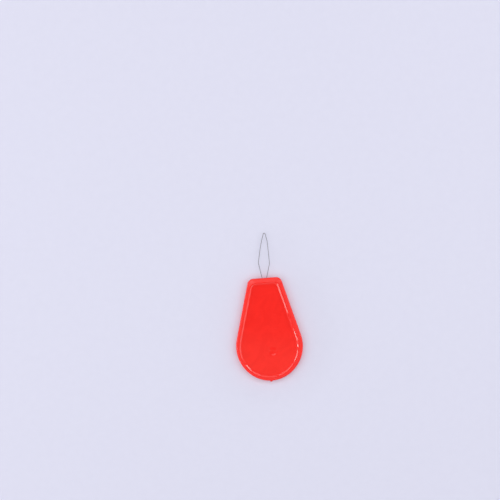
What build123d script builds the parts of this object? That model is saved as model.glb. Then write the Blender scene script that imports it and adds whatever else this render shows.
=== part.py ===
from build123d import *
import os
from math import cos, radians, sin, tan

# Needle threader: a flat teardrop handle moulded in one piece round the two tails of a loop of fine
# spring wire. It lies on the rim of its back face. +Z goes up through the front face, +Y runs along
# the handle towards the tip of the loop, and the origin is under the middle of the overall length.

# ---- handle outline, at the parting line round the middle of its edge ----
handle_length = 34.6        # from the butt to the mouth, where the wire comes out
butt_radius = 10.8          # the round of the butt, centred on the axis
shoulder_radius = 11.8      # the flatter round that runs on from it up each side
shoulder_angle = 56.0       # degrees under the X axis where the one round becomes the other
side_taper = 15.3           # degrees that each straight side leans in towards the mouth
corner_radii = (2.1, 2.1)   # the left and the right corner by the mouth

# ---- handle section, each height measured from the middle of the thickness ----
thickness = 2.2
edge_height = 0.9           # top of the outer wall, where the crown of the rim begins
floor_height = 0.7          # floor of the recess on each face
wall_draft = 2.0            # degrees
edge_round = 0.45
floor_round = 0.35

# ---- rim, as distances in from the outline ----
ridge_inset = 1.07          # outer side of the flat land on top of the rim
ridge_top_inset = 1.42      # the same along the mouth, where the rim is wider
land_width = 0.25
wall_run = 0.45             # how far the sloping wall of the recess runs in
recess_shift = (-0.18, -0.2)    # the recess sits a little to the left, and nearer to the butt
ridge_corner_radii = (2.3, 1.6)     # the land's left and right corner by the mouth

# ---- marks that moulding leaves ----
gate_x = -0.2               # the nub on the butt, where the plastic came in
gate_width = 1.3
gate_tip_x = -0.33
gate_tip_width = 0.35
gate_height = 0.35
gate_thickness = 0.8
gate_root = 0.5             # how far the nub's root runs up into the handle
dimple_radius = 1.5         # the shallow round mark that the ejector pin leaves on the front
dimple_depth = 0.11
dimple_x = 1.1
dimple_above_butt = 9.8

# ---- wire loop ----
wire_diameter = 0.2
loop_height = 15.1          # tip of the loop above the mouth
loop_lean = 3.7             # degrees that the loop leans to the right
mouth_offset = 0.16         # how far right of the axis the loop comes out
tip_bend_radius = 0.34
tip_half_angle = 14.2       # degrees between each branch and the loop's own axis at the tip
left_neck = (-0.97, 12.3)   # points of the loop across and along its own axis, from the mouth
left_bow = (-1.5, 9.4)
left_shoulder = (-2.08, 5.0)
right_neck = (0.94, 12.3)
right_bow = (1.15, 10.4)
right_shoulder = (1.68, 4.8)
neck_radius = 6.0
bow_radius = 20.0
left_shoulder_radius = 0.8
right_shoulder_radius = 4.0
left_tail_x = -0.78         # the two tails inside the handle
right_tail_x = 0.52
tail_bend_depth = 0.5       # the branches run on this far into the handle before they straighten
tail_bend_radius = 1.5
tail_depth = 9.0
hook_length = 1.6           # the foot bent outward at the end of each tail, which locks it in
hook_radius = 0.5

# ---- what follows from these ----
middle_z = thickness / 2
rim_height = thickness / 2
butt_y = (gate_height - handle_length - loop_height) / 2
mouth_y = butt_y + handle_length
middle_plane = Plane.XY.offset(middle_z)


def teardrop(inset, top_inset, corners, shift=(0.0, 0.0)):
    """The face inside the handle's outline, with the outline moved in by inset."""
    arc_turn = radians(shoulder_angle)
    step = shoulder_radius - butt_radius
    butt_centre = Vector(shift[0], butt_y + butt_radius + shift[1])
    right_centre = butt_centre + Vector(-step * cos(arc_turn), step * sin(arc_turn))
    left_centre = butt_centre + Vector(step * cos(arc_turn), step * sin(arc_turn))
    shoulder = shoulder_radius - inset
    top = mouth_y - top_inset
    sweep = shoulder_angle + side_taper
    with BuildSketch() as face:
        with BuildLine():
            CenterArc(butt_centre, butt_radius - inset, shoulder_angle - 180, 180 - 2 * shoulder_angle)
            right_arc = CenterArc(right_centre, shoulder, -shoulder_angle, sweep)
            left_arc = CenterArc(left_centre, shoulder, 180 - side_taper, sweep)
            rise = (top - (right_arc @ 1).Y) / cos(radians(side_taper))
            right_side = PolarLine(right_arc @ 1, rise, 90 + side_taper)
            left_side = PolarLine(left_arc @ 0, rise, 90 - side_taper)
            Line(right_side @ 1, left_side @ 1)
        make_face()
        fillet(face.vertices().group_by(Axis.Y)[-1].sort_by(Axis.X)[0], corners[0])
        fillet(face.vertices().group_by(Axis.Y)[-1].sort_by(Axis.X)[-1], corners[1])
    return face.sketch


# ---- wire loop: one length of round spring wire, bent in a plane at the middle of the thickness ----
loop_plane = Plane(
    origin=(mouth_offset, mouth_y, middle_z),
    x_dir=(cos(radians(loop_lean)), -sin(radians(loop_lean)), 0),
    z_dir=(0, 0, 1),
)
tip_centre_height = (loop_height - wire_diameter / 2 - tip_bend_radius) / cos(radians(loop_lean))
branches_meet = (0, tip_centre_height + tip_bend_radius / sin(radians(tip_half_angle)))

with BuildPart() as wire_loop:
    with BuildLine(loop_plane) as wire_path:
        FilletPolyline(
            (left_tail_x - hook_length, -tail_depth),
            (left_tail_x, -tail_depth),
            (left_tail_x, -tail_bend_depth),
            left_shoulder,
            left_bow,
            left_neck,
            branches_meet,
            right_neck,
            right_bow,
            right_shoulder,
            (right_tail_x, -tail_bend_depth),
            (right_tail_x, -tail_depth),
            (right_tail_x + hook_length, -tail_depth),
            radius=[
                hook_radius,
                tail_bend_radius,
                left_shoulder_radius,
                bow_radius,
                neck_radius,
                tip_bend_radius,
                neck_radius,
                bow_radius,
                right_shoulder_radius,
                tail_bend_radius,
                hook_radius,
            ],
        )
    with BuildSketch(Plane(origin=wire_path.line @ 0, z_dir=wire_path.line % 0)):
        Circle(wire_diameter / 2)
    sweep(path=wire_path.line)
wire_loop.part.label = "wire_loop"

# ---- handle: the upper half is shaped and mirrored, then the marks and the wire's bed are added ----
with BuildPart() as handle:
    # outer wall, which leans in a little for the mould, then the crown that slopes up to the land
    wall_lean = edge_height * tan(radians(wall_draft))
    with BuildSketch(middle_plane):
        add(teardrop(0, 0, corner_radii))
    with BuildSketch(middle_plane.offset(edge_height)):
        add(teardrop(wall_lean, wall_lean, corner_radii))
    with BuildSketch(middle_plane.offset(rim_height)):
        add(teardrop(ridge_inset, ridge_top_inset, ridge_corner_radii, recess_shift))
    loft(ruled=True)

    # recess: a shallow pan inside the rim, whose wall slopes alike all round
    recess_inset = ridge_inset + land_width
    recess_top_inset = ridge_top_inset + land_width
    floor_inset = recess_inset + wall_run
    floor_top_inset = recess_top_inset + wall_run
    floor_corner_radii = [radius - wall_run for radius in ridge_corner_radii]
    with BuildSketch(middle_plane.offset(rim_height)):
        add(teardrop(recess_inset, recess_top_inset, ridge_corner_radii, recess_shift))
    with BuildSketch(middle_plane.offset(floor_height)):
        add(teardrop(floor_inset, floor_top_inset, floor_corner_radii, recess_shift))
    loft(ruled=True, mode=Mode.SUBTRACT)

    floor_edges = edges().filter_by(Plane.XY).filter_by_position(
        Axis.Z, middle_z + floor_height - 0.01, middle_z + floor_height + 0.01
    )
    fillet(floor_edges, floor_round)
    outer_edges = edges().filter_by(Plane.XY).filter_by_position(
        Axis.Z, middle_z + edge_height - 0.01, middle_z + edge_height + 0.01
    )
    fillet(outer_edges, edge_round)
    mirror(about=middle_plane)

    # nub on the butt, where the plastic came into the mould
    with BuildSketch(middle_plane.offset(-gate_thickness / 2)):
        with BuildLine():
            Polyline(
                (gate_x - gate_width / 2, butt_y + gate_root),
                (gate_x - gate_width / 2, butt_y),
                (gate_tip_x - gate_tip_width / 2, butt_y - gate_height),
                (gate_tip_x + gate_tip_width / 2, butt_y - gate_height),
                (gate_x + gate_width / 2, butt_y),
                (gate_x + gate_width / 2, butt_y + gate_root),
                close=True,
            )
        make_face()
    extrude(amount=gate_thickness)

    # ejector mark on the front: a shallow piece of a ball
    ball_radius = (dimple_radius**2 + dimple_depth**2) / (2 * dimple_depth)
    ball_z = middle_z + floor_height - dimple_depth + ball_radius
    with Locations((dimple_x, butt_y + dimple_above_butt, ball_z)):
        Sphere(ball_radius, mode=Mode.SUBTRACT)

    # bed of the tails, which the plastic flowed round
    add(wire_loop.part, mode=Mode.SUBTRACT)
handle.part.label = "handle"

os.makedirs("parts", exist_ok=True)
export_step(wire_loop.part, "parts/wire_loop.step")
export_step(handle.part, "parts/handle.step")
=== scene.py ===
import math

import bpy
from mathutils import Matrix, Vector


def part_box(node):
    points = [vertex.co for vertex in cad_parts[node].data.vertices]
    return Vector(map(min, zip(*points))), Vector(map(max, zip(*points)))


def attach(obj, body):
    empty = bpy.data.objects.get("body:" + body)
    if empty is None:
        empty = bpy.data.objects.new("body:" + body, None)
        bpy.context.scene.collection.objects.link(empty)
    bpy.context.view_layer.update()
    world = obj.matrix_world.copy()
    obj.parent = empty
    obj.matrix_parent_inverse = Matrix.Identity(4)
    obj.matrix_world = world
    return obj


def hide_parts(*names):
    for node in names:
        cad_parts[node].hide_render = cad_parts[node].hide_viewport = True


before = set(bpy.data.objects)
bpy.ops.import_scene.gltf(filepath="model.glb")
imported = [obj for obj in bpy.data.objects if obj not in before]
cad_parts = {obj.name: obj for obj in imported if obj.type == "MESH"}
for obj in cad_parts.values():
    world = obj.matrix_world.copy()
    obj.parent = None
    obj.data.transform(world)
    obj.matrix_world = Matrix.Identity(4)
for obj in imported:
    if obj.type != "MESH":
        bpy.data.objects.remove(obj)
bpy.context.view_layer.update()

# Needle threader. Lengths are in millimetres and angles in degrees, until place() turns a point into the
# frame's metres. Y is counted from the butt of the handle and Z from its middle plane. At the end, the
# floor, the camera's clipping and the lights are in metres.
MM = 0.001

# ---- handle outline ----
BUTT_RADIUS = 10.8
SHOULDER_RADIUS = 11.8
SHOULDER_ANGLE = 56.0       # below the level, where the arc of the butt meets the arc of the shoulder
SIDE_TAPER = 15.3
HANDLE_LENGTH = 34.6        # without the gate nub
CORNERS = (2.1, 2.1)        # the left and the right corner by the mouth

# ---- handle section, up from the middle plane ----
EDGE_HEIGHT = 0.9           # top of the outer wall
RIM_HEIGHT = 1.1            # the land, which is the highest part
FLOOR_HEIGHT = 0.7
WALL_DRAFT = 2.0
RIDGE_INSET = 1.07          # from the outline to the land
RIDGE_TOP_INSET = 1.42      # the same by the mouth
RIDGE_CORNERS = (2.3, 1.6)
LAND_WIDTH = 0.25
WALL_RUN = 0.45             # width of the sloping wall of the recess
CENTRED = (0.0, 0.0)
RECESS_SHIFT = (-0.18, -0.2)
EDGE_ROUND = 0.45
RIDGE_ROUND = 0.45
BRINK_ROUND = 0.2           # between the land and the wall of the recess
FOOT_ROUND = 0.35
SEAM_STEP = 0.015           # the parting line stands this much proud of the wall beside it
FLOOR_MARGIN = 0.6          # even strip of floor next to the recess wall

# ---- how far the foot of the recess wall strays inward, where the mould was polished by hand ----
SWING = 0.01                # half of a slow wave on the left side
SWING_RATE = 1.1            # radians for each millimetre along the handle
SINK = 0.12                 # a hollow on the right side
SINK_PLACE = 19.5
RIPPLE = 0.025              # half of a short ripple on the right side
RIPPLE_RATE = 3.0
RIPPLE_PHASE = 2.4
RIPPLE_PLACE = 10.4
STRAY_REACH = 2.2           # how far the hollow and the ripple spread along the handle

# ---- marks from the mould ----
GATE_HEIGHT = 0.35
GATE_RISE = (-0.85, -0.5)   # across the butt, the gate nub rises over this stretch
GATE_FALL = (-0.2, 0.45)
GATE_END = (0.33, 0.42)     # and it ends between these heights from the middle plane
GATE_REACH = 1.0            # only the wall this near to the end of the butt carries it
TEAR = 0.1                  # half of the deepest bite in its torn face, as a share of its height
TEAR_GRAIN = (9.0, 5.0)     # radians for each millimetre across and up
TEAR_HEIGHT = 0.4           # from the middle plane to where the tear is deepest
DIMPLE = (1.1, 9.8)         # middle of the ejector mark
DIMPLE_RADIUS = 1.5
DIMPLE_DEPTH = 0.11
DIMPLE_BRINK = 0.12         # share of the radius over which the mark starts
ON_FLOOR = 0.01             # a point this near to the floor's height is on the floor

# ---- wire ----
WIRE_RADIUS = 0.1
LOOP_HEIGHT = 15.1
LOOP_LEAN = 3.7
MOUTH_OFFSET = 0.16         # from the handle's axis to the loop's own axis, at the mouth
TIP_RADIUS = 0.34
TIP_HALF_ANGLE = 14.2       # between each branch and the loop's axis, at the tip
# The corners of each branch from the mouth up: across and along the loop's axis, and the bend's radius.
LEFT_BRANCH = ((-2.08, 5.0, 0.8), (-1.5, 9.4, 20), (-0.97, 12.3, 6))
RIGHT_BRANCH = ((1.68, 4.8, 4), (1.15, 10.4, 20), (0.94, 12.3, 6))
LEFT_TAIL = -0.78
RIGHT_TAIL = 0.52
TAIL_TOP = -0.5
TAIL_TOP_BEND = 1.5
TAIL_DEPTH = 9.0
HOOK_LENGTH = 1.6
HOOK_BEND = 0.5

# ---- mesh density ----
END_CELLS = 96              # across the butt and across the mouth
BUTT_CELLS = 14
SHOULDER_CELLS = 62
SIDE_CELLS = 52
CORNER_CELLS = 18
BUTT_PATCH = 19.0           # half the angle of the butt that the floor's lower edge takes
WALL_RINGS = (0.03, 0.05, 0.12, 0.21, 0.3, 0.36, 0.4, 0.44, 0.5)      # heights on the outer wall
EDGE_STEPS = 9
RIDGE_STEPS = 4
BRINK_STEPS = 6
FOOT_STEPS = 8
FLAT_SHARES = (0.05, 0.5, 0.95)     # rings that hold the flat between two bends
WIRE_SIDES = 20
WIRE_STEP = 0.4             # longest cell along the wire
SHARP = 120.0               # a bend with less than this between its legs is a sharp one
SHARP_STEPS = 24
GENTLE_STEPS = 10

handle_low, handle_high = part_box("handle")
butt_y = handle_low[1] + GATE_HEIGHT * MM
middle_z = (handle_low[2] + handle_high[2]) / 2


def place(x, y, z):
    """The frame's metres for a point of the handle in millimetres."""
    return (x * MM, butt_y + y * MM, middle_z + z * MM)


def point_on(centre, radius, angle):
    """A point of a circle."""
    turn = math.radians(angle)
    return (centre[0] + radius * math.cos(turn), centre[1] + radius * math.sin(turn))


def steps(start, end, count):
    """Count even steps from start up to, but not onto, end."""
    return [start + (end - start) * i / count for i in range(count)]


def between(a, b, share):
    """A point of the straight line from a to b."""
    return tuple(p + (q - p) * share for p, q in zip(a, b))


def ramp(value, start, end):
    """0 before start, 1 past end, and a smooth rise between."""
    t = min(1.0, max(0.0, (value - start) / (end - start)))
    return t * t * (3 - 2 * t)


def fillet(before, corner, after, radius, count):
    """Points of the arc that rounds a corner between the points before and after it."""
    to_before = (before - corner).normalized()
    to_after = (after - corner).normalized()
    half = to_before.angle(to_after) / 2
    leg = radius / math.tan(half)
    centre = corner + (to_before + to_after).normalized() * (radius / math.sin(half))
    start = (corner + to_before * leg - centre).normalized()
    end = (corner + to_after * leg - centre).normalized()
    return [centre + start.slerp(end, i / count) * radius for i in range(count + 1)]


def smooth_piece(name, points, faces):
    """A new object with smooth shading."""
    mesh = bpy.data.meshes.new(name)
    mesh.from_pydata(points, [], faces)
    mesh.update()
    mesh.shade_smooth()
    piece = bpy.data.objects.new(name, mesh)
    bpy.context.collection.objects.link(piece)
    return piece


# ================================================================ handle
def right_half(inset, top_inset, corner, drop):
    """The right half of the outline moved in by inset, from the middle of the butt towards the mouth's."""
    butt = (0.0, BUTT_RADIUS + drop)
    butt_r = BUTT_RADIUS - inset
    shoulder = point_on(butt, SHOULDER_RADIUS - BUTT_RADIUS, 180 - SHOULDER_ANGLE)
    shoulder_r = SHOULDER_RADIUS - inset
    top = HANDLE_LENGTH - top_inset
    nx, ny = point_on((0, 0), 1, SIDE_TAPER)
    corner_y = top - corner
    corner_x = shoulder[0] + (shoulder_r - corner - ny * (corner_y - shoulder[1])) / nx
    corner_at = (corner_x, corner_y)
    side_from = point_on(shoulder, shoulder_r, SIDE_TAPER)
    side_to = point_on(corner_at, corner, SIDE_TAPER)

    right = [point_on(butt, butt_r, a) for a in steps(-90, BUTT_PATCH - 90, END_CELLS // 2)]
    right += [point_on(butt, butt_r, a) for a in steps(BUTT_PATCH - 90, -SHOULDER_ANGLE, BUTT_CELLS)]
    shoulder_angles = steps(-SHOULDER_ANGLE, SIDE_TAPER, SHOULDER_CELLS)
    right += [point_on(shoulder, shoulder_r, a) for a in shoulder_angles]
    right += [between(side_from, side_to, t) for t in steps(0, 1, SIDE_CELLS)]
    right += [point_on(corner_at, corner, a) for a in steps(SIDE_TAPER, 90, CORNER_CELLS)]
    right += [(x, top) for x in steps(corner_x, 0, END_CELLS // 2)]
    return right


def level(inset, top_inset, corners, shift, height):
    """The whole outline moved in by inset, at one height, from the middle of the butt up the right side."""
    right = right_half(inset, top_inset, corners[1], shift[1])
    left = [(-x, y) for x, y in right_half(inset, top_inset, corners[0], shift[1])]
    mouth = (0.0, HANDLE_LENGTH - top_inset)
    return [Vector((x + shift[0], y, height)) for x, y in right + [mouth] + left[:0:-1]]


def rounded(before, at, after, radius, count):
    """Rings that round the bend at one ring, between the rings before and after it."""
    arcs = [fillet(a, b, c, radius, count) for a, b, c in zip(before, at, after)]
    return [list(ring) for ring in zip(*arcs)]


def joined(bends):
    """The rounded bends in order, with the flat between two of them held flat right up to its ends."""
    rings = list(bends[0])
    for bend in bends[1:]:
        before, after = rings[-1], bend[0]
        for share in FLAT_SHARES:
            rings.append([a.lerp(b, share) for a, b in zip(before, after)])
        rings += bend
    return rings


def stray(x, y):
    """How far the foot of the recess wall strays inward at one place."""
    if x < 0:
        return SWING * (1 + math.sin(SWING_RATE * y))
    sink = SINK * math.exp(-((y - SINK_PLACE) / STRAY_REACH) ** 2)
    ripple = RIPPLE * (1 + math.sin(RIPPLE_RATE * y + RIPPLE_PHASE))
    return sink + ripple * math.exp(-((y - RIPPLE_PLACE) / STRAY_REACH) ** 2)


def upper_levels():
    """The rings of one half of the handle, from the parting line up over the rim and into the recess."""
    lean = math.tan(math.radians(WALL_DRAFT))

    def outer(height):
        inset = SEAM_STEP + lean * height
        return level(inset, inset, CORNERS, CENTRED, height)

    parting = level(0, 0, CORNERS, CENTRED, 0)
    wall = [outer(height) for height in WALL_RINGS]
    edge = outer(EDGE_HEIGHT)
    ridge = level(RIDGE_INSET, RIDGE_TOP_INSET, RIDGE_CORNERS, RECESS_SHIFT, RIM_HEIGHT)
    brink_inset = RIDGE_INSET + LAND_WIDTH
    brink_top = RIDGE_TOP_INSET + LAND_WIDTH
    brink = level(brink_inset, brink_top, RIDGE_CORNERS, RECESS_SHIFT, RIM_HEIGHT)
    foot_inset = brink_inset + WALL_RUN
    foot_top = brink_top + WALL_RUN
    foot_corners = [radius - WALL_RUN for radius in RIDGE_CORNERS]
    foot = level(foot_inset, foot_top, foot_corners, RECESS_SHIFT, FLOOR_HEIGHT)
    floor_inset = foot_inset + FLOOR_MARGIN
    floor_top = foot_top + FLOOR_MARGIN
    floor = level(floor_inset, floor_top, foot_corners, RECESS_SHIFT, FLOOR_HEIGHT)
    foot = [a.lerp(b, stray(a.x, a.y) / FLOOR_MARGIN) for a, b in zip(foot, floor)]
    bends = [
        rounded(wall[-1], edge, ridge, EDGE_ROUND, EDGE_STEPS),
        rounded(edge, ridge, brink, RIDGE_ROUND, RIDGE_STEPS),
        rounded(ridge, brink, foot, BRINK_ROUND, BRINK_STEPS),
        rounded(brink, foot, floor, FOOT_ROUND, FOOT_STEPS),
    ]
    return [parting] + wall + joined(bends) + [floor]


def floor_patch(edge):
    """Points of the floor inside its edge ring, as rows from the butt to the mouth."""
    half = END_CELLS // 2
    rows = (len(edge) - 2 * END_CELLS) // 2
    low = [edge[(i - half) % len(edge)] for i in range(END_CELLS + 1)]
    right = [edge[half + j] for j in range(rows + 1)]
    high = [edge[half + rows + END_CELLS - i] for i in range(END_CELLS + 1)]
    left = [edge[(-half - j) % len(edge)] for j in range(rows + 1)]
    grid = []
    for j in range(rows + 1):
        v = j / rows
        row = []
        for i in range(END_CELLS + 1):
            u = i / END_CELLS
            across = left[j].lerp(right[j], u)
            along = low[i].lerp(high[i], v)
            corners = low[0].lerp(low[-1], u).lerp(high[0].lerp(high[-1], u), v)
            row.append(across + along - corners)
        grid.append(row)
    return grid


def moulded(point, front):
    """The frame's place of a point of the handle, moved by the gate nub or by the ejector mark."""
    x, y, z = point
    if y < GATE_REACH:
        across = ramp(x, *GATE_RISE) * (1 - ramp(x, *GATE_FALL))
        bite = 1 + math.sin(TEAR_GRAIN[0] * x + TEAR_GRAIN[1] * z)
        torn = 1 - TEAR * bite * ramp(abs(z), 0, TEAR_HEIGHT)
        y -= GATE_HEIGHT * across * (1 - ramp(abs(z), *GATE_END)) * torn
    away = math.hypot(x - DIMPLE[0], y - DIMPLE[1]) / DIMPLE_RADIUS
    if front and away < 1 and abs(z - FLOOR_HEIGHT) < ON_FLOOR:
        z -= DIMPLE_DEPTH * (1 - away * away) * ramp(1 - away, 0, DIMPLE_BRINK)
    return place(x, y, z)


def make_handle():
    upper = upper_levels()
    count = len(upper[0])
    points = []
    faces = []

    def add_ring(ring, front):
        first = len(points)
        points.extend(moulded(p, front) for p in ring)
        return [first + i for i in range(count)]

    def band(a, b):
        for i in range(count):
            k = (i + 1) % count
            faces.append((a[i], a[k], b[k], b[i]))

    def add_floor(edge_points, edge, front):
        half = END_CELLS // 2
        grid = floor_patch(edge_points)
        rows = len(grid) - 1
        index = {}
        for i in range(END_CELLS + 1):
            index[0, i] = edge[(i - half) % count]
            index[rows, i] = edge[half + rows + END_CELLS - i]
        for j in range(rows + 1):
            index[j, 0] = edge[(-half - j) % count]
            index[j, END_CELLS] = edge[half + j]
        for j in range(1, rows):
            for i in range(1, END_CELLS):
                index[j, i] = len(points)
                points.append(moulded(grid[j][i], front))
        for j in range(rows):
            for i in range(END_CELLS):
                quad = (index[j, i], index[j, i + 1], index[j + 1, i + 1], index[j + 1, i])
                faces.append(quad if front else quad[::-1])

    parting = add_ring(upper[0], True)
    for front in (True, False):
        last = parting
        for ring in upper[1:]:
            here = ring if front else [Vector((p.x, p.y, -p.z)) for p in ring]
            new = add_ring(here, front)
            if front:
                band(last, new)
            else:
                band(new, last)
            last = new
        add_floor(here, last, front)
    return smooth_piece("handle_moulding", points, faces)


# ================================================================ wire loop
def wire_route():
    """Corners of the wire and the radius at each, across and along the loop's own axis."""

    def tail(x, hook_x):
        return [(hook_x, -TAIL_DEPTH, 0), (x, -TAIL_DEPTH, HOOK_BEND), (x, TAIL_TOP, TAIL_TOP_BEND)]

    tip_centre = (LOOP_HEIGHT - WIRE_RADIUS - TIP_RADIUS) / math.cos(math.radians(LOOP_LEAN))
    meet = tip_centre + TIP_RADIUS / math.sin(math.radians(TIP_HALF_ANGLE))
    left = tail(LEFT_TAIL, LEFT_TAIL - HOOK_LENGTH) + list(LEFT_BRANCH)
    right = tail(RIGHT_TAIL, RIGHT_TAIL + HOOK_LENGTH) + list(RIGHT_BRANCH)
    return left + [(0, meet, TIP_RADIUS)] + right[::-1]


def wire_line():
    """Points along the wire's middle line, with its corners rounded and no step longer than WIRE_STEP."""
    route = wire_route()
    line = [Vector(route[0][:2])]
    for before, (x, y, radius), after in zip(route, route[1:], route[2:]):
        a, b, c = Vector(before[:2]), Vector((x, y)), Vector(after[:2])
        sharp = (a - b).angle(c - b) < math.radians(SHARP)
        line += fillet(a, b, c, radius, SHARP_STEPS if sharp else GENTLE_STEPS)
    line.append(Vector(route[-1][:2]))
    dense = []
    for a, b in zip(line, line[1:]):
        parts = max(1, math.ceil((b - a).length / WIRE_STEP))
        dense += [a.lerp(b, i / parts) for i in range(parts)]
    return dense + [line[-1]]


def make_wire():
    lean = math.radians(LOOP_LEAN)
    line = []
    for u, v in wire_line():
        x = MOUTH_OFFSET + u * math.cos(lean) + v * math.sin(lean)
        y = HANDLE_LENGTH - u * math.sin(lean) + v * math.cos(lean)
        line.append(Vector((x, y)))
    points = []
    faces = []
    for i, p in enumerate(line):
        along = (line[min(i + 1, len(line) - 1)] - line[max(i - 1, 0)]).normalized()
        for k in range(WIRE_SIDES):
            turn = 2 * math.pi * k / WIRE_SIDES
            out = WIRE_RADIUS * math.cos(turn)
            up = WIRE_RADIUS * math.sin(turn)
            points.append(place(p.x - along.y * out, p.y + along.x * out, up))
    for i in range(len(line) - 1):
        a, b = i * WIRE_SIDES, (i + 1) * WIRE_SIDES
        for k in range(WIRE_SIDES):
            n = (k + 1) % WIRE_SIDES
            faces.append((a + k, a + n, b + n, b + k))
    last = (len(line) - 1) * WIRE_SIDES
    faces.append(tuple(reversed(range(WIRE_SIDES))))
    faces.append(tuple(last + k for k in range(WIRE_SIDES)))
    return smooth_piece("wire", points, faces)


# ================================================================ materials
# Each colour is a pair that a pattern mixes. Depths of relief are in millimetres.
RED = ((0.96, 0.0120, 0.0056, 1), (1.0, 0.0150, 0.0076, 1))
RED_IOR = 1.49
RED_ROUGHNESS = (0.08, 0.11)
SCRATCH_ROUGHNESS = 0.18
SCRATCH_DEPTH = 0.0012
SCRATCH_STRETCH = (0.16, 9.0, 1.0)
RUB_ROUGHNESS = 0.14
RUB_HEIGHTS = (RIM_HEIGHT - 0.03, RIM_HEIGHT - 0.005)
PEEL_DEPTH = 0.0009
WAVE_DEPTH = 0.008
STEEL = ((0.18, 0.172, 0.195, 1), (0.28, 0.268, 0.30, 1))
STEEL_ROUGHNESS = (0.26, 0.38)
DRAWN_DEPTH = 0.001
DRAWN_STRETCH = (26.0, 0.8, 26.0)
PAPER = ((0.718, 0.718, 0.859, 1), (0.749, 0.749, 0.889, 1))
PAPER_ROUGHNESS = 0.85
PAPER_GRAIN = 0.01


class Nodes:
    """A material's node tree, with short ways to add to it. Patterns are sized in millimetres."""

    def __init__(self, name):
        self.material = bpy.data.materials.new(name)
        self.material.use_nodes = True
        self.tree = self.material.node_tree
        self.shader = self.tree.nodes["Principled BSDF"]
        coordinates = self.tree.nodes.new("ShaderNodeTexCoord")
        inputs = {"Vector": coordinates.outputs["Object"], "Scale": (1 / MM, 1 / MM, 1 / MM)}
        self.place = self.add("ShaderNodeMapping", inputs).outputs[0]

    def connect(self, value, socket):
        if isinstance(value, bpy.types.NodeSocket):
            self.tree.links.new(value, socket)
        else:
            socket.default_value = value

    def add(self, kind, inputs, **settings):
        node = self.tree.nodes.new(kind)
        for key, value in settings.items():
            setattr(node, key, value)
        for key, value in inputs.items():
            self.connect(value, node.inputs[key])
        return node

    def math(self, operation, a, b=0.0):
        return self.add("ShaderNodeMath", {0: a, 1: b}, operation=operation).outputs[0]

    def noise(self, scale, detail=2.0, roughness=0.5, distortion=0.0, where=None):
        inputs = {"Vector": where or self.place, "Scale": scale, "Detail": detail}
        inputs.update({"Roughness": roughness, "Distortion": distortion})
        return self.add("ShaderNodeTexNoise", inputs).outputs["Fac"]

    def remap(self, value, low, high, new_low=0.0, new_high=1.0):
        inputs = {0: value, 1: low, 2: high, 3: new_low, 4: new_high}
        return self.add("ShaderNodeMapRange", inputs, interpolation_type="SMOOTHSTEP").outputs[0]

    def mix(self, share, a, b):
        return self.add("ShaderNodeMix", {0: share, 6: a, 7: b}, data_type="RGBA").outputs[2]

    def turned(self, angle, stretch):
        inputs = {"Vector": self.place, "Rotation": (0, 0, math.radians(angle)), "Scale": stretch}
        return self.add("ShaderNodeMapping", inputs).outputs[0]

    def bumped(self, height):
        """A normal bent by a height in metres."""
        return self.add("ShaderNodeBump", {"Strength": 1.0, "Distance": 1.0, "Height": height}).outputs[0]

    def use(self, **inputs):
        for key, value in inputs.items():
            self.connect(value, self.shader.inputs[key.replace("_", " ")])


def scratches(n, angle, threshold):
    """Fine hairlines that run at one angle and come and go."""
    stretched = n.turned(angle, SCRATCH_STRETCH)
    fine = n.noise(1.0, detail=1.0, distortion=0.4, where=stretched)
    lines = n.remap(fine, threshold, threshold + 0.05)
    where = n.remap(n.noise(0.35, detail=1.0), 0.45, 0.62)
    return n.math("MULTIPLY", lines, where)


def red_plastic():
    """Flow marks in the colour, a slight orange peel, hairline scratches, and rims rubbed by use."""
    n = Nodes("red_plastic")
    flow = n.remap(n.noise(0.16, detail=3.0, roughness=0.55, distortion=1.6), 0.35, 0.65)
    colour = n.mix(flow, *RED)
    lines = n.math("MAXIMUM", scratches(n, 24, 0.7), scratches(n, -52, 0.72))
    height = n.add("ShaderNodeSeparateXYZ", {0: n.place}).outputs[2]
    from_middle = n.math("ABSOLUTE", n.math("SUBTRACT", height, middle_z / MM))
    rubbed = n.remap(from_middle, *RUB_HEIGHTS)
    rub = n.math("MULTIPLY", rubbed, n.remap(n.noise(1.6, detail=3.0), 0.4, 0.7))
    finish = n.remap(n.noise(0.5, detail=3.0), 0.3, 0.7, *RED_ROUGHNESS)
    roughness = n.math("ADD", finish, n.math("MULTIPLY", lines, SCRATCH_ROUGHNESS))
    roughness = n.math("ADD", roughness, n.math("MULTIPLY", rub, RUB_ROUGHNESS))
    peel = n.math("MULTIPLY", n.noise(3.2), PEEL_DEPTH * MM)
    wave = n.math("MULTIPLY", n.noise(0.17, detail=1.0), WAVE_DEPTH * MM)
    cut = n.math("MULTIPLY", lines, -SCRATCH_DEPTH * MM)
    normal = n.bumped(n.math("ADD", n.math("ADD", peel, wave), cut))
    n.use(Base_Color=colour, Roughness=roughness, Normal=normal, IOR=RED_IOR)
    return n.material


def spring_wire():
    """Grey steel with fine lines along it, left by the drawing die."""
    n = Nodes("spring_wire")
    drawn = n.noise(1.0, roughness=0.6, where=n.turned(LOOP_LEAN, DRAWN_STRETCH))
    colour = n.mix(n.remap(drawn, 0.35, 0.65), *STEEL)
    roughness = n.remap(drawn, 0.3, 0.7, *STEEL_ROUGHNESS)
    normal = n.bumped(n.math("MULTIPLY", drawn, DRAWN_DEPTH * MM))
    n.use(Base_Color=colour, Metallic=1.0, Roughness=roughness, Normal=normal)
    return n.material


def pale_paper():
    n = Nodes("pale_paper")
    colour = n.mix(n.noise(0.4, detail=4.0, roughness=0.6), *PAPER)
    normal = n.bumped(n.math("MULTIPLY", n.noise(2.5, detail=3.0), PAPER_GRAIN * MM))
    n.use(Base_Color=colour, Roughness=PAPER_ROUGHNESS, Normal=normal)
    return n.material


# ================================================================ pieces
handle = make_handle()
handle.data.materials.append(red_plastic())
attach(handle, "root")
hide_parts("handle")

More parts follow.
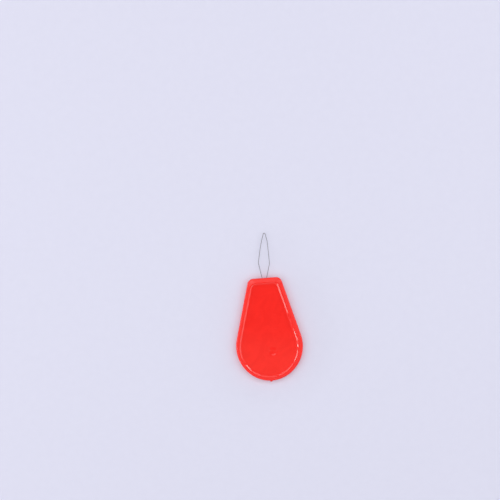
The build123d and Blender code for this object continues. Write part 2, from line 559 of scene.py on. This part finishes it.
wire = make_wire()
wire.data.materials.append(spring_wire())
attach(wire, "root")
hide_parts("wire_loop")

# ================================================================ floor and camera
FLOOR_HALF = 2.0            # metres
floor_mesh = bpy.data.meshes.new("floor")
floor_corners = [(x * FLOOR_HALF, y * FLOOR_HALF, 0) for x, y in ((-1, -1), (1, -1), (1, 1), (-1, 1))]
floor_mesh.from_pydata(floor_corners, [], [(0, 1, 2, 3)])
floor = bpy.data.objects.new("floor", floor_mesh)
bpy.context.collection.objects.link(floor)
floor_mesh.materials.append(pale_paper())

VIEW_WIDTH = 168.2          # what the picture takes in at the handle's middle plane
VIEW_CENTRE = (-4.05, 44.33)
VIEW_ROLL = 4.43            # the handle leans this far to the left in the picture
LENS = 100
SENSOR = 36
camera_data = bpy.data.cameras.new("camera")
camera_data.lens = LENS
camera_data.sensor_width = SENSOR
camera_data.clip_start = 0.01
camera_data.clip_end = 10
camera = bpy.data.objects.new("camera", camera_data)
view_distance = VIEW_WIDTH * MM * LENS / SENSOR
camera.location = Vector(place(*VIEW_CENTRE, 0)) + Vector((0, 0, view_distance))
camera.rotation_euler = (0, 0, -math.radians(VIEW_ROLL))
bpy.context.collection.objects.link(camera)
bpy.context.scene.camera = camera

# ================================================================ light
LIGHT_DISTANCE = 0.6        # metres from the middle of the handle to each panel
WATTS = 4                   # for each square metre of a panel and each unit of its radiance
SKY_COLOUR = (0.97, 0.97, 1.0, 1)
SKY_STRENGTH = 0.35
aim = Vector(place(0, HANDLE_LENGTH / 2, 0))


def softbox(name, azimuth, elevation, width, height, radiance, colour=(1, 1, 1)):
    """A soft panel facing the handle, sized in metres; azimuth is counted from +X towards +Y."""
    a, e = math.radians(azimuth), math.radians(elevation)
    out = Vector((math.cos(a) * math.cos(e), math.sin(a) * math.cos(e), math.sin(e)))
    data = bpy.data.lights.new(name, "AREA")
    data.shape = "RECTANGLE"
    data.size = width
    data.size_y = height
    data.energy = radiance * width * height * WATTS
    data.color = colour
    light = bpy.data.objects.new(name, data)
    light.location = aim + out * LIGHT_DISTANCE
    light.rotation_mode = "QUATERNION"
    light.rotation_quaternion = out.to_track_quat("Z", "Y")
    light.visible_camera = False
    bpy.context.collection.objects.link(light)


# Broad panels, which the crown of the rim reflects.
softbox("top_panel", 90, 64, 0.9, 0.4, 0.76)
softbox("left_panel", 180, 56, 0.45, 0.44, 0.42)
softbox("right_panel", 0, 56, 0.45, 0.44, 0.42)
softbox("lower_panel", -90, 52, 0.9, 0.36, 0.45)

# Small panels high up, for the floor of the recess, the crown at one corner and the ejector mark.
softbox("overhead_panel", -98, 82.9, 0.34, 0.065, 0.27, (1.0, 0.98, 0.75))
softbox("upper_left_panel", 122, 79, 0.1, 0.1, 1.1)
softbox("zenith_panel", 65, 82.2, 0.09, 0.038, 0.5)

# Fills from both sides.
softbox("left_fill", 180, 33, 0.5, 0.26, 0.9)
softbox("right_fill", 0, 33, 0.5, 0.26, 0.9)

# Low panels all the way round. Each shows in the stretch of the recess wall across from it.
softbox("low_left", 200, 7.5, 0.3, 0.055, 4.7)
softbox("low_upper_left", 165, 9.5, 0.28, 0.055, 5.5)
softbox("low_spot", 183, 8.5, 0.06, 0.05, 14)
softbox("low_top_left", 128, 11.5, 0.44, 0.06, 2.0)
softbox("low_top", 84, 12, 0.36, 0.1, 1.3)
softbox("low_top_right", 56, 11, 0.2, 0.1, 2.0)
softbox("low_upper_right", 35, 10, 0.15, 0.06, 6.5)
softbox("low_right", -4, 7, 0.46, 0.1, 1.6)
softbox("low_bottom", -90, 5.5, 0.5, 0.09, 0.7)
softbox("low_bottom_left", -142, 6, 0.4, 0.09, 1.6)
softbox("low_bottom_right", -45, 6, 0.4, 0.09, 1.3)

world = bpy.data.worlds.new("studio")
world.use_nodes = True
background = world.node_tree.nodes["Background"]
background.inputs["Color"].default_value = SKY_COLOUR
background.inputs["Strength"].default_value = SKY_STRENGTH
bpy.context.scene.world = world
bpy.context.scene.view_settings.view_transform = "Standard"
